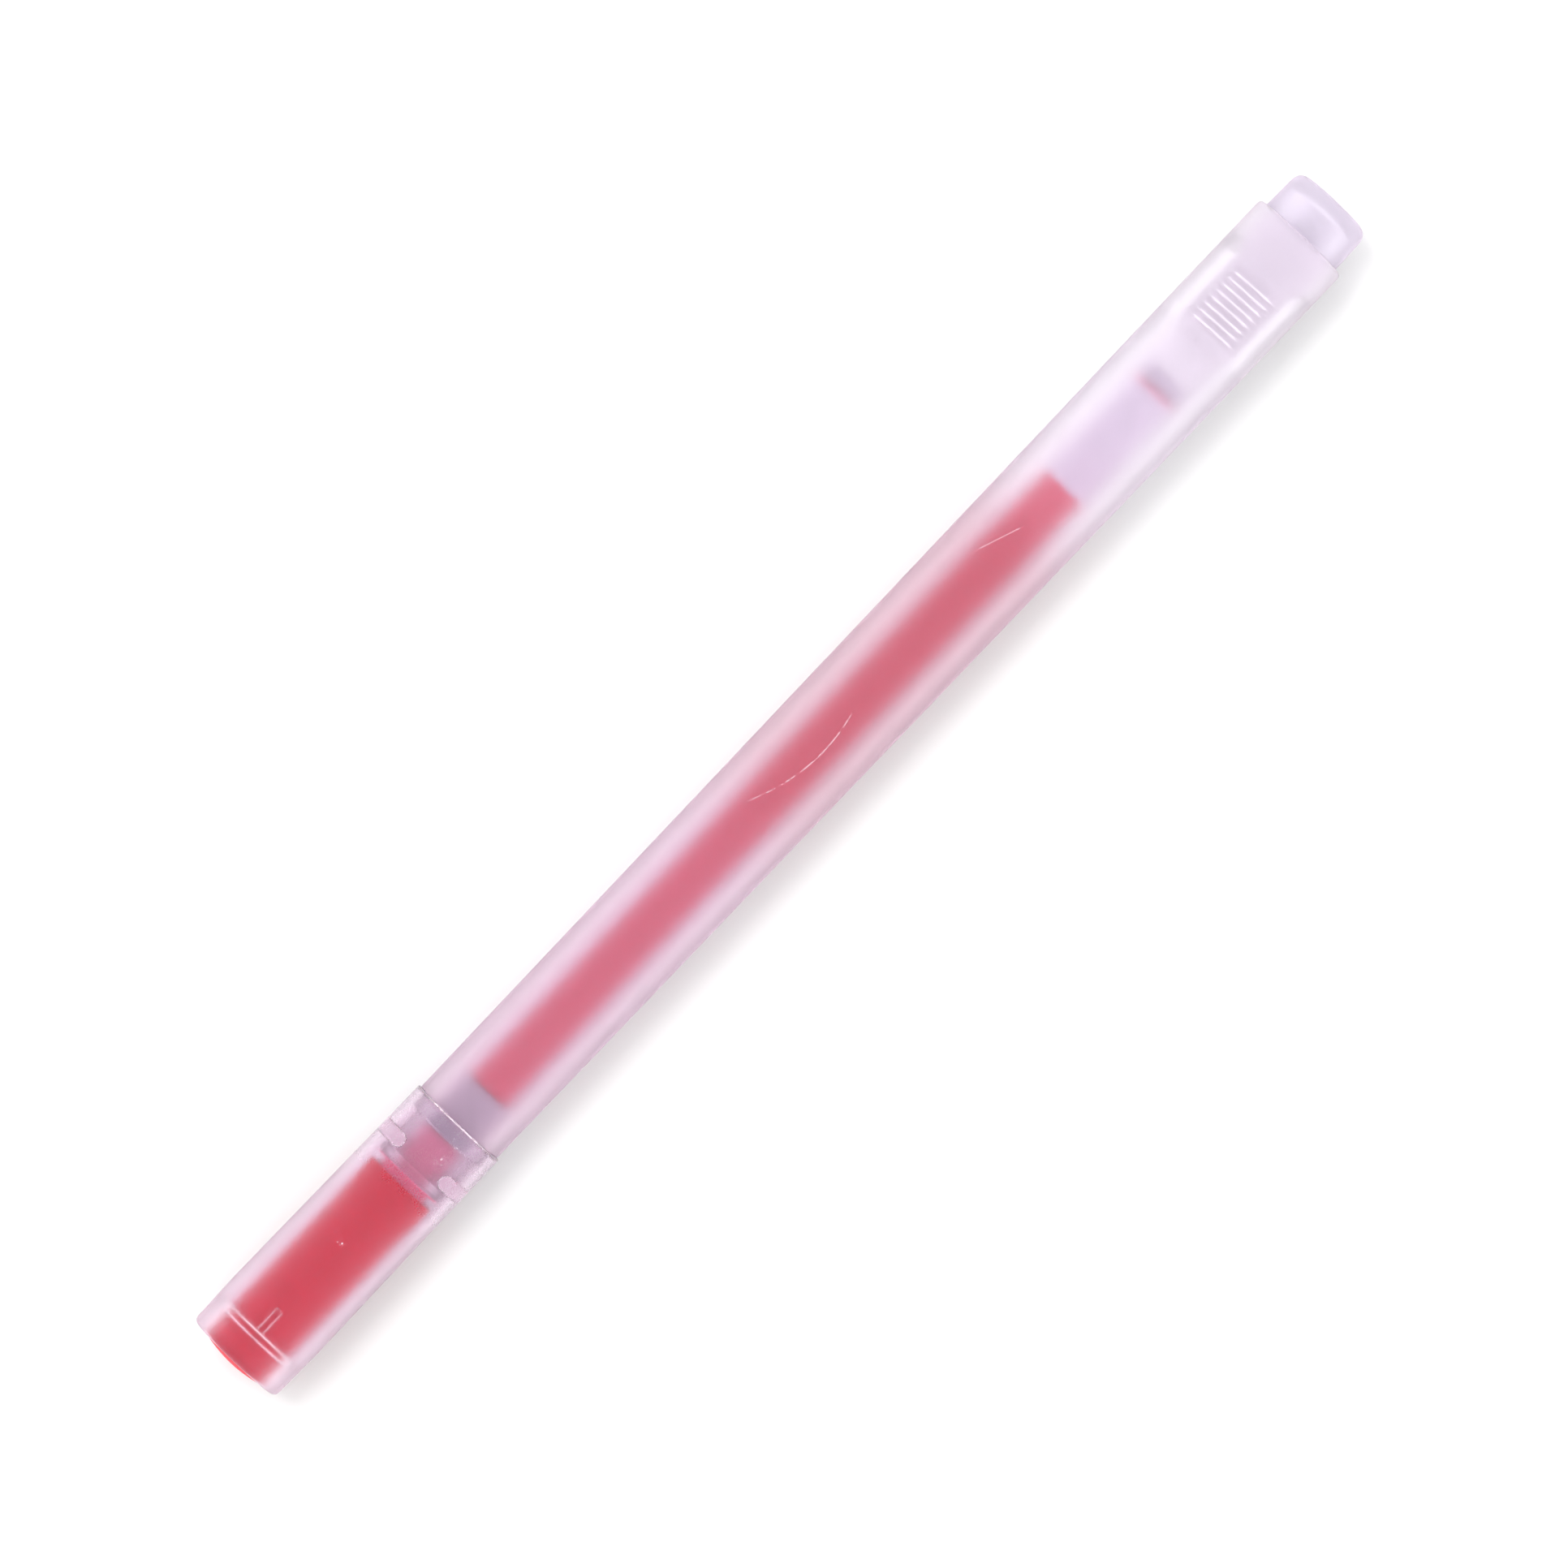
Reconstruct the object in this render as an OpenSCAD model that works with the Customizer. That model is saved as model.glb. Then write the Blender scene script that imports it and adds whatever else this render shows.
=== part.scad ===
// Capped brush pen lying along X: cap at the low-X end, tail plug at the high-X end.
// Every station below is a distance in millimetres from the apex of the cap's crown,
// measured along the pen's axis. The table is z = 0 and the cap rests on it.

/* [Cap] */
// Diameter of the cap at its widest, near the crown
cap_d = 10.1; // [9.8:0.05:10.6]
// Diameter of the cap at its lip
cap_lip_d = 9.68; // [9.5:0.02:9.8]
// Station of the cap's flat end, which the crown stands proud of
cap_end = 0.5; // [0.3:0.05:0.8]
// Station of the cap's lip, which rests on the barrel's shoulder
cap_lip = 29.4; // [28.5:0.1:30]
// Diameter of the cap's bore
cap_bore_d = 8.4; // [8.35:0.01:8.5]
// Radius of the cap's outer end corner
cap_corner = 0.9; // [0.4:0.05:1]

/* [Inner cap] */
// Diameter of the sealing cup and of its crown
inner_d = 7.1; // [6.9:0.02:7.14]
// Station of the sealing cup's mouth
inner_mouth = 21.95; // [20:0.05:22.1]
// Station where the snap groove round the cup's crown starts
groove_start = 3.15; // [2.9:0.05:3.4]
// Length of the snap groove
groove_len = 0.8; // [0.6:0.05:1]
// Diameter of the sealing chamber
chamber_d = 5.7; // [5.5:0.02:5.8]

/* [Barrel] */
// Diameter of the barrel at the shoulder that the cap meets
barrel_front_d = 9.24; // [9:0.02:9.4]
// Diameter of the barrel's straight rear end
barrel_rear_d = 9.8; // [9.5:0.02:10]
// Station where the barrel's taper ends and its straight rear end starts
straight_start = 122; // [110:0.5:125]
// Station of the barrel's rear face
barrel_end = 137.6; // [136:0.1:138]
// Diameter of the barrel's main bore
barrel_bore_d = 6.8; // [6.6:0.05:7]
// Station of the neck's front face
neck_start = 22.9; // [22.7:0.05:23.1]
// Diameter of the neck under the cap
neck_d = 7; // [6.9:0.02:7.1]
// Diameter of the land that guides the cap's lip
land_d = 8.26; // [8.1:0.02:8.3]

/* [Nib] */
// Station of the brush's point
brush_point = 4.9; // [4.5:0.1:6]
// Largest diameter of the brush
brush_d = 2.3; // [1.8:0.05:2.4]
// Station of the front rim of the nib holder's nose
nose_start = 14.2; // [13.5:0.1:15]
// Diameter of the feed rod
feed_d = 1.8; // [1.4:0.05:1.9]

/* [Refill] */
// Diameter of the fibre core that holds the ink
core_d = 4.56; // [4.3:0.02:4.7]
// Station of the core's front end
core_start = 33.2; // [32.8:0.1:34]
// Station of the core's rear end
core_end = 119; // [110:0.5:119]
// Thickness of the film round the core
film_t = 0.12; // [0.08:0.01:0.2]

/* [Tail plug] */
// Station of the tail plug's end, which is the pen's whole length
total_len = 142; // [141.5:0.1:143]
// Diameter of the post that the cap can be pushed on
post_d = 8.4; // [8.2:0.02:8.5]
// Diameter over the thread's crests
thread_d = 6.7; // [6.5:0.02:6.72]
// Pitch of the thread
thread_pitch = 0.75; // [0.6:0.05:0.9]
// Number of turns of thread
thread_turns = 9; // [5:1:9]

/* [Hidden] */
$fn = 96;

// Radial gap of the running fits, and of pieces that are pushed together
run_gap = 0.05;
push_gap = 0.02;
axis_height = cap_d / 2;

// Cap shell
cap_widest = 6;
lip_round = 0.2;
crown_hole_r = inner_d / 2 + push_gap;
groove_r = inner_d / 2 - 0.17;
thick_end = groove_start + groove_len + 0.14;
key_w = 0.78;
key_len = 2.55;
nub_start = 24;
nub_len = 1.5;
nub_span = 120;

// Inner cap
crown_proud = cap_end;
crown_sphere_r = (pow(inner_d / 2, 2) + pow(crown_proud, 2)) / (2 * crown_proud);
crown_thick = 2.4;
mouth_chamfer = 0.3;

// Neck and nib holder
bead_start = 23.05;
bead_end = 23.85;
bead_r = neck_d / 2 + 0.12;
neck_front_end = neck_start + 1;
neck_hollow_r = neck_d / 2 - 0.4;
nub_r = bead_r + run_gap;
land_start = 27.6;
stem_r = 2.28;
stem_throat_r = 1.95;
stem_throat_end = 23.9;
collar_r = 2.66;
holder_flange_start = 22.74;
holder_flange_r = neck_d / 2 - 0.05;
seal_r = chamber_d / 2 - run_gap;
seal_start = 18.5;
seal_end = 21.4;
nose_r = 1.75;
ferrule_r = brush_d / 2 + 0.25;
ferrule_front = nose_start - 0.9;
ferrule_rear = 19;
brush_root = 17.5;
feed_front = brush_root;
feed_rear = core_start + 6.8;

// Barrel
rear_round = 0.55;
collar_end = core_start - 0.1;
collar_bore_end = cap_lip - 0.4;
thread_start = 125.5;
thread_len = thread_turns * thread_pitch;
seat_r = 3.85;
seat_start = thread_start + thread_pitch / 2 + thread_len + 0.7;

// Tail plug
thread_depth = 0.36;
thread_root_r = thread_d / 2 - thread_depth;
thread_sunk = 0.12;
thread_steps = 24;
plug_nose_r = core_d / 2 - 0.05;
plug_wall = 0.8;
nose_wall = 0.6;
plug_end_wall = 1.4;
post_round = 1.0;
end_bulge = 0.15;

// A point on a quarter of a round, turned from the first direction to the second
function arc(centre, r, from, to, steps = 8) = [
  for (i = [0 : steps])
    let (a = from + (to - from) * i / steps)
      [centre[0] + r * cos(a), centre[1] + r * sin(a)]
];

// Puts a shape that is drawn along Z on the pen's axis, at a station
module on_axis(station = 0) {
  translate([station - total_len / 2, 0, axis_height])
    rotate([0, 90, 0])
      children();
}

// A solid of revolution round the pen's axis from points of [station, radius]
module turned(outline) {
  on_axis()
    rotate_extrude()
      polygon([for (p = outline) [p[1], p[0]]]);
}

// A plain bore from one station to another
module bore(from, to, r) {
  on_axis(from)
    cylinder(h = to - from, r = r);
}

// Outer skin of the cap: a rounded end, a slight swell and a long taper to the lip
module cap_skin() {
  r = cap_d / 2;
  lip_r = cap_lip_d / 2;
  corner_r = r - 0.1;
  turned(concat(
    [[cap_end, 0]],
    arc([cap_end + cap_corner, corner_r - cap_corner], cap_corner, 180, 90),
    [[cap_widest, r]],
    arc([cap_lip - lip_round, lip_r - lip_round], lip_round, 90, 0, 4),
    [[cap_lip, 0]]
  ));
}

// One snap nub inside the cap: a short arc, thickest in the middle
module snap_nub() {
  outer_r = cap_bore_d / 2 + 0.2;
  intersection() {
    turned([
      [nub_start, outer_r],
      [nub_start + 0.35, nub_r],
      [nub_start + nub_len - 0.35, nub_r],
      [nub_start + nub_len, outer_r]
    ]);
    on_axis(nub_start)
      rotate([0, 0, 90 - nub_span / 2])
        rotate_extrude(angle = nub_span)
          translate([nub_r - 1, 0])
            square([outer_r - nub_r + 2, nub_len]);
  }
}

// Hole that holds the cup's crown, with a ring inside that snaps into the cup's groove
module crown_hole() {
  ring_r = groove_r + push_gap;
  turned([
    [cap_end - 1, 0],
    [cap_end - 1, crown_hole_r],
    [groove_start + push_gap, crown_hole_r],
    [groove_start + 0.1 + push_gap, ring_r],
    [groove_start + groove_len - 0.1 - push_gap, ring_r],
    [groove_start + groove_len - push_gap, crown_hole_r],
    [thick_end + 0.1, crown_hole_r],
    [thick_end + 0.1, 0]
  ]);
}

module cap_shell() {
  color([0.9, 0.83, 0.91])
    difference() {
      union() {
        difference() {
          cap_skin();
          crown_hole();
          bore(thick_end, cap_lip + 1, cap_bore_d / 2);
        }
        // Two snap nubs, one on each side
        for (side = [0, 1])
          mirror([0, side, 0])
            snap_nub();
        // Key that stops the sealing cup from turning
        translate([thick_end - 0.01 - total_len / 2, -key_w / 2, axis_height + inner_d / 2 + 0.1])
          cube([key_len, key_w, cap_bore_d / 2 - inner_d / 2]);
      }
      // Lead-in at the lip
      turned([
        [cap_lip - 0.3, 0],
        [cap_lip - 0.3, cap_bore_d / 2],
        [cap_lip + 0.1, cap_bore_d / 2 + 0.2],
        [cap_lip + 0.1, 0]
      ]);
    }
}

module inner_cap() {
  body_r = inner_d / 2;
  color([0.86, 0.16, 0.2])
    difference() {
      union() {
        intersection() {
          on_axis(crown_sphere_r)
            sphere(r = crown_sphere_r);
          bore(-1, groove_start - 1, body_r);
        }
        turned([
          [groove_start - 1.01, 0],
          [groove_start - 1.01, body_r],
          [groove_start, body_r],
          [groove_start + 0.1, groove_r],
          [groove_start + groove_len - 0.1, groove_r],
          [groove_start + groove_len, body_r],
          [inner_mouth, body_r],
          [inner_mouth, 0]
        ]);
      }
      turned([
        [crown_thick, 0],
        [crown_thick, chamber_d / 2 - 0.4],
        [crown_thick + 0.4, chamber_d / 2],
        [inner_mouth - mouth_chamfer, chamber_d / 2],
        [inner_mouth + 0.1, chamber_d / 2 + mouth_chamfer + 0.1],
        [inner_mouth + 0.1, 0]
      ]);
    }
}

// Outer skin of the barrel: neck with its snap bead, land, shoulder and slow taper
module barrel_skin() {
  neck_r = neck_d / 2;
  land_r = land_d / 2;
  front_r = barrel_front_d / 2;
  rear_r = barrel_rear_d / 2;
  turned(concat(
    [
      [neck_start, 0],
      [neck_start, neck_r - 0.1],
      [bead_start, neck_r],
      [bead_start + 0.2, bead_r],
      [bead_end - 0.2, bead_r],
      [bead_end, neck_r],
      [land_start, neck_r],
      [land_start + 0.2, land_r],
      [cap_lip + 0.02, land_r],
      [cap_lip + 0.02, front_r - 0.1],
      [cap_lip + 0.12, front_r],
      [straight_start, rear_r]
    ],
    arc([barrel_end - rear_round, rear_r - rear_round], rear_round, 90, 0),
    [[barrel_end, 0]]
  ));
}

module barrel() {
  color([0.93, 0.89, 0.95]) {
    difference() {
      barrel_skin();
      bore(neck_start - 1, neck_front_end + 0.01, stem_r + push_gap);
      bore(neck_front_end, land_start, neck_hollow_r);
      bore(land_start - 0.01, collar_bore_end + 0.01, collar_r + push_gap);
      turned([
        [collar_bore_end, 0],
        [collar_bore_end, collar_r + push_gap],
        [collar_bore_end + 0.35, barrel_bore_d / 2],
        [seat_start - 0.4, barrel_bore_d / 2],
        [seat_start - 0.1, seat_r + run_gap],
        [barrel_end + 0.1, seat_r + run_gap],
        [barrel_end + 0.1, 0]
      ]);
    }
    // Inner thread, half a pitch away from the plug's
    on_axis(thread_start + thread_pitch / 2)
      thread_ridge(barrel_bore_d / 2, thread_root_r + 0.1);
  }
}

module nib_holder() {
  color([0.93, 0.86, 0.9])
    difference() {
      turned([
        [nose_start, 0],
        [nose_start, nose_r],
        [seal_start - 0.6, seal_r - 0.35],
        [seal_start, seal_r],
        [seal_end, seal_r],
        [seal_end + 0.2, seal_r - 0.2],
        [holder_flange_start, seal_r - 0.2],
        [holder_flange_start, holder_flange_r],
        [neck_start - push_gap, holder_flange_r],
        [neck_start - push_gap, stem_throat_r],
        [stem_throat_end, stem_throat_r],
        [stem_throat_end + 0.1, stem_r],
        [land_start - push_gap - 0.2, stem_r],
        [land_start - push_gap, stem_r - 0.2],
        [land_start - push_gap, 0]
      ]);
      bore(nose_start - 1, ferrule_rear + push_gap, ferrule_r + push_gap);
      bore(ferrule_rear, land_start + 1, feed_d / 2 + push_gap);
    }
}

module brush_ferrule() {
  inner_r = brush_d / 2 - 0.05;
  color([0.82, 0.8, 0.84])
    difference() {
      turned([
        [ferrule_front, 0],
        [ferrule_front, ferrule_r - 0.15],
        [ferrule_front + 0.15, ferrule_r],
        [ferrule_rear, ferrule_r],
        [ferrule_rear, 0]
      ]);
      bore(ferrule_front - 1, brush_root + push_gap, inner_r + push_gap);
      bore(brush_root, ferrule_rear + 1, feed_d / 2 + push_gap);
    }
}

// Radius of the brush at a share of the way from its point to the ferrule
function brush_r(t) = brush_d / 2 * sin(min(1, t * 1.25) * 90) * (1 - 0.1 * max(0, t - 0.6));

module brush_tip() {
  steps = 14;
  free = ferrule_front - brush_point;
  root_r = brush_d / 2 - 0.05;
  color([0.62, 0.1, 0.16])
    turned(concat(
      [[brush_point, 0]],
      [for (i = [1 : steps]) [brush_point + free * i / steps, min(brush_r(i / steps), root_r)]],
      [[brush_root, root_r], [brush_root, 0]]
    ));
}

module feed_rod() {
  color([0.75, 0.2, 0.3])
    turned([
      [feed_front + push_gap, 0],
      [feed_front + push_gap, feed_d / 2],
      [feed_rear - 0.6, feed_d / 2],
      [feed_rear, feed_d / 2 - 0.4],
      [feed_rear, 0]
    ]);
}

module feed_collar() {
  color([0.72, 0.66, 0.74])
    difference() {
      bore(land_start, collar_end, collar_r);
      bore(land_start - 1, collar_end + 1, feed_d / 2 + push_gap);
    }
}

module ink_reservoir() {
  color([0.82, 0.3, 0.4])
    difference() {
      turned([
        [core_start, 0],
        [core_start, core_d / 2 - 0.2],
        [core_start + 0.2, core_d / 2],
        [core_end - 0.4, core_d / 2],
        [core_end, core_d / 2 - 0.4],
        [core_end, 0]
      ]);
      bore(core_start - 1, feed_rear + 0.1, feed_d / 2 + run_gap);
    }
}

module reservoir_film() {
  color([0.88, 0.82, 0.9, 0.5])
    difference() {
      bore(core_start, core_end + 1.5, core_d / 2 + film_t + 0.005);
      bore(core_start - 1, core_end + 2, core_d / 2 + 0.005);
    }
}

// Helical ridge round Z from one radius to another, flush with its wall at both ends.
// It stands outwards on a plug, and inwards in a bore.
module thread_ridge(wall_r, crest_r) {
  steps = thread_turns * thread_steps;
  half_root = thread_pitch * 0.42;
  half_crest = thread_pitch * 0.12;
  sunk_r = wall_r + sign(wall_r - crest_r) * thread_sunk;
  flush_r = sunk_r + (wall_r - sunk_r) / 4;
  run_out = thread_steps / 2;
  outward = crest_r > wall_r;
  points = [
    for (i = [0 : steps])
      let (
        a = 360 * i / thread_steps,
        z = thread_len * i / steps,
        rise = min(1, min(i, steps - i) / run_out),
        r = flush_r + (crest_r - flush_r) * rise,
        section = [
          [sunk_r, z - half_root],
          [r, z - half_crest],
          [r, z + half_crest],
          [sunk_r, z + half_root]
        ]
      )
        for (j = [0 : 3])
          let (p = section[outward ? j : 3 - j])
            [p[0] * cos(a), p[0] * sin(a), p[1]]
  ];
  sides = [
    for (i = [0 : steps - 1])
      for (j = [0 : 3])
        let (a = 4 * i + j, b = 4 * i + (j + 1) % 4)
          each [[a, b, b + 4], [a, b + 4, a + 4]]
  ];
  last = 4 * steps;
  ends = [[0, 3, 2, 1], [last, last + 1, last + 2, last + 3]];
  polyhedron(points = points, faces = concat(sides, ends), convexity = 10);
}

module tail_plug() {
  color([0.94, 0.91, 0.96])
    difference() {
      union() {
        turned(concat(
          [
            [core_end + 0.05, 0],
            [core_end + 0.05, plug_nose_r - 0.3],
            [core_end + 0.35, plug_nose_r],
            [thread_start - 1.4, plug_nose_r],
            [thread_start - 0.8, thread_root_r],
            [seat_start - 0.3, thread_root_r],
            [seat_start, seat_r],
            [barrel_end + push_gap, seat_r],
            [barrel_end + push_gap, post_d / 2]
          ],
          arc([total_len - end_bulge - post_round, post_d / 2 - post_round], post_round, 90, 0),
          [[total_len, post_d / 4], [total_len, 0]]
        ));
        on_axis(thread_start)
          thread_ridge(thread_root_r, thread_d / 2);
      }
      // Hollow, open towards the refill
      turned([
        [core_end - 1, 0],
        [core_end - 1, plug_nose_r - nose_wall],
        [thread_start - 0.6, plug_nose_r - nose_wall],
        [thread_start, thread_root_r - plug_wall],
        [seat_start + 1, thread_root_r - plug_wall],
        [seat_start + 2, thread_root_r - plug_wall + 0.4],
        [total_len - plug_end_wall - 0.3, thread_root_r - plug_wall + 0.4],
        [total_len - plug_end_wall, thread_root_r - plug_wall],
        [total_len - plug_end_wall, 0]
      ]);
    }
}

cap_shell();
inner_cap();
barrel();
nib_holder();
brush_ferrule();
brush_tip();
feed_rod();
feed_collar();
ink_reservoir();
reservoir_film();
tail_plug();
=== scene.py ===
# %% [markdown]
# # A capped brush pen with a see-through barrel
#
# The pen is a nest of thin turned walls: a frosted cap with a red sealing cup pressed
# into it, a long frosted barrel, a fibre core soaked in ink, and a plug screwed into the
# tail. Nearly all of its look is light that has passed through frosted plastic, so every
# wall is modelled with its true thickness and both of its faces. A few colours are still
# painted light. The plastic is painted pinker near the red cup and the ink, for the red
# light they send into it. The middle of the barrel carries a painted shade, and the
# thread's crests carry a painted highlight along the top.
#
# The imported CAD model is loaded first. It fixes every size and place, and the pieces
# made here stand for its nodes. Along the pen, a place is a station: its distance in
# millimetres from the apex of the red cup's dome, which is the pen's front end.

# %% Load the frame
import math

import bmesh
import bpy
import numpy as np
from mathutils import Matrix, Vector


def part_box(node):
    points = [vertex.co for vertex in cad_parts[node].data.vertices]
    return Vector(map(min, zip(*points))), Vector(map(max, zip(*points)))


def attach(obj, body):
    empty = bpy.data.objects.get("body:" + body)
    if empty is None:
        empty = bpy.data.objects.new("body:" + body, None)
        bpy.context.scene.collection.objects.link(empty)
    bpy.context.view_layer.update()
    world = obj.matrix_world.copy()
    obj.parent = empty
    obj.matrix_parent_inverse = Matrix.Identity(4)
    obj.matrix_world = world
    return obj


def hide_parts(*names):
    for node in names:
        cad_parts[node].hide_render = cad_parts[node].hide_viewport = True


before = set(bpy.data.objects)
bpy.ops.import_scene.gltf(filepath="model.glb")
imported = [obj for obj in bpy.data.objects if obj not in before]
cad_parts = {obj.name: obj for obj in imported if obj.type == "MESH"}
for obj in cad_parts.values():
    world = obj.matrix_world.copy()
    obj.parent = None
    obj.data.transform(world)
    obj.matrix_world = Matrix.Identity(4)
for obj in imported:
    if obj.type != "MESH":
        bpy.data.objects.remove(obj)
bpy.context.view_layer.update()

MM = 0.001
apex_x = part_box("inner_cap")[0].x
axis_z = (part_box("cap_shell")[0].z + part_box("cap_shell")[1].z) / 2


def span(node):
    """Where a CAD node starts and ends along the pen, in millimetres from the cup's apex."""
    low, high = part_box(node)
    return (low.x - apex_x) / MM, (high.x - apex_x) / MM


def radius_of(node):
    """The largest radius of a round CAD node, in millimetres."""
    low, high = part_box(node)
    return (high.z - low.z) / 2 / MM


pen_length = span("tail_plug")[1]
print(f"pen: {pen_length:.2f} mm long, its axis {axis_z / MM:.2f} mm above the table")

# %% [markdown]
# ## A lathe in code
#
# Every main piece is round about one axis, so all of them can come from one lathe: a list
# of stations along the pen and radii there, in millimetres, turned into rings of points.
# Blender's Screw modifier does that too, but a ring of our own can bend: a radius may
# depend on the angle as well, which gives a moulded key, a snap nub or a chipped lip in
# the same wall, with no cut or join for light to catch on.
#
# An outline that returns to its start is a tube with a real wall. One that starts and
# ends on the axis is a solid, and its ends close in a single point.

# %% Outlines: straight walls with rounded corners
def rounded(corners, steps=5):
    """Turns (station, radius, round, slot) corners into (station, radius, slot) points."""
    points = []
    last = len(corners) - 1
    for i, (s, r, size, slot) in enumerate(corners):
        before = corners[i - 1] if i else None
        after = corners[i + 1] if i < last else None
        if not size or before is None or after is None:
            points.append((s, r, slot))
            continue
        here = Vector((s, r))
        a = Vector(before[:2]) - here
        b = Vector(after[:2]) - here
        half = a.angle(b) / 2
        run = min(size / math.tan(half), 0.48 * a.length, 0.48 * b.length)
        start = here + a.normalized() * run
        end = here + b.normalized() * run
        for k in range(steps + 1):
            t = k / steps
            # A quadratic curve is close enough to an arc on a corner this small
            p = start.lerp(here, t).lerp(here.lerp(end, t), t)
            points.append((p.x, p.y, slot if k == steps else before[3]))
    return points


def subdivided(points, low, high, step):
    """Adds points between two stations, so that a wall can bend there."""
    result = []
    for (s0, r0, slot), (s1, r1, _) in zip(points, points[1:]):
        result.append((s0, r0, slot))
        inside = max(min(s0, s1), low) < min(max(s0, s1), high) - 1e-6
        if inside and abs(s1 - s0) > step * 1.5:
            count = int(abs(s1 - s0) / step)
            for k in range(1, count):
                s = s0 + (s1 - s0) * k / count
                if low <= s <= high:
                    result.append((s, r0 + (r1 - r0) * k / count, slot))
    result.append(points[-1])
    return result


# %% The lathe
def even_angles(count=180):
    return [2 * math.pi * k / count for k in range(count)]


def turned(name, points, angles=None, shape=None, closed=False):
    """A mesh turned round the axis; shape(s, r, angle) may move a ring's radii and stations.

    Angle 0 is the top of the pen and a quarter turn is its +Y side.
    """
    angles = np.array(angles if angles else even_angles())
    verts, rings = [], []
    for s, r, _ in points:
        if r < 1e-6:
            rings.append([len(verts)])
            verts.append((apex_x + s * MM, 0.0, axis_z))
            continue
        ss = np.full(len(angles), float(s))
        rr = np.full(len(angles), float(r))
        if shape:
            ss, rr = shape(ss, rr, angles)
        rings.append(list(range(len(verts), len(verts) + len(angles))))
        verts.extend(zip(
            apex_x + ss * MM,
            rr * MM * np.sin(angles),
            axis_z + rr * MM * np.cos(angles),
        ))
    faces, slots = [], []
    count = len(angles)
    pairs = list(zip(range(len(rings)), range(1, len(rings))))
    if closed:
        pairs.append((len(rings) - 1, 0))
    for a, b in pairs:
        ra, rb = rings[a], rings[b]
        for k in range(count):
            n = (k + 1) % count
            if len(ra) == 1:
                faces.append((ra[0], rb[n], rb[k]))
            elif len(rb) == 1:
                faces.append((ra[k], ra[n], rb[0]))
            else:
                faces.append((ra[k], ra[n], rb[n], rb[k]))
            slots.append(points[a][2])
    mesh = bpy.data.meshes.new(name)
    mesh.from_pydata(verts, [], faces)
    mesh.polygons.foreach_set("material_index", slots)
    return facing_out(mesh)


def facing_out(mesh, crease=38):
    """Points every face outwards and keeps edges crisp where a wall turns sharply."""
    bm = bmesh.new()
    bm.from_mesh(mesh)
    bmesh.ops.recalc_face_normals(bm, faces=bm.faces)
    bm.to_mesh(mesh)
    bm.free()
    mesh.polygons.foreach_set("use_smooth", [True] * len(mesh.polygons))
    mesh.set_sharp_from_angle(angle=math.radians(crease))
    return mesh


def joined_skins(mesh, other):
    """Welds a second skin to a first one where their rings meet."""
    bm = bmesh.new()
    bm.from_mesh(mesh)
    bm.from_mesh(other)
    bmesh.ops.remove_doubles(bm, verts=bm.verts, dist=0.001 * MM)
    bm.to_mesh(mesh)
    bm.free()
    return facing_out(mesh)


def place_of(face):
    """The station along the pen and the radius of a face's middle, in millimetres."""
    along = (face.center.x - apex_x) / MM
    return along, math.hypot(face.center.y, face.center.z - axis_z) / MM


def piece(name, mesh, body, replaced, finishes):
    """Puts a mesh in the scene as one piece of the pen."""
    obj = bpy.data.objects.new(name, mesh)
    bpy.context.scene.collection.objects.link(obj)
    # Clearing the materials sets every face back to the first slot, so the slots are kept
    slots = [face.material_index for face in mesh.polygons]
    mesh.materials.clear()
    for finish in finishes:
        mesh.materials.append(finish)
    mesh.polygons.foreach_set("material_index", slots)
    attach(obj, body)
    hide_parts(*replaced)
    low = [min(v.co[k] for v in mesh.vertices) / MM for k in (0, 1, 2)]
    high = [max(v.co[k] for v in mesh.vertices) / MM for k in (0, 1, 2)]
    size = " x ".join(f"{b - a:.2f}" for a, b in zip(low, high))
    print(f"{name}: {size} mm, {len(mesh.polygons)} faces")


# %% [markdown]
# ## Node trees written as expressions
#
# A finish is easier to read as arithmetic than as boxes and wires. `Value` wraps a socket
# and adds a Math node for each operator, and `Tree.node` makes any other node: its
# settings go in first, because some of them change which sockets the node has. The same
# two classes serve materials and Geometry Nodes.

# %% Sockets that take part in arithmetic
class Value:
    def __init__(self, tree, socket):
        self.tree = tree
        self.socket = socket

    def _math(self, operation, *others):
        values = dict(enumerate((self,) + others))
        return self.tree.node("ShaderNodeMath", {"operation": operation}, values)

    def __add__(self, other):
        return self._math("ADD", other)

    __radd__ = __add__

    def __mul__(self, other):
        return self._math("MULTIPLY", other)

    __rmul__ = __mul__

    def __sub__(self, other):
        return self._math("SUBTRACT", other)

    def __rsub__(self, other):
        return self.tree.node("ShaderNodeMath", {"operation": "SUBTRACT"}, {0: other, 1: self})

    def __truediv__(self, other):
        return self._math("DIVIDE", other)

    def __pow__(self, other):
        return self._math("POWER", other)

    def __abs__(self):
        return self._math("ABSOLUTE")

    def least(self, other):
        return self._math("MINIMUM", other)

    def most(self, other):
        return self._math("MAXIMUM", other)

    def fraction(self):
        return self._math("FRACT")

    def clipped(self):
        return self.most(0.0).least(1.0)

    def rise(self, low, high):
        """0 up to low, 1 from high on, and a smooth rise between them."""
        return self.tree.node(
            "ShaderNodeMapRange",
            {"interpolation_type": "SMOOTHSTEP"},
            {"Value": self, "From Min": low, "From Max": high},
        )


# %% The tree and its one method
class Tree:
    def __init__(self, nodes):
        self.tree = nodes

    def node(self, kind, settings=None, sockets=None, output=0):
        """Adds a node and returns one of its outputs."""
        made = self.tree.nodes.new(kind)
        for key, value in (settings or {}).items():
            setattr(made, key, value)
        for key, value in (sockets or {}).items():
            if isinstance(value, Value):
                self.tree.links.new(value.socket, made.inputs[key])
            else:
                made.inputs[key].default_value = value
        return Value(self, made.outputs[output]) if len(made.outputs) else None


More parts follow.
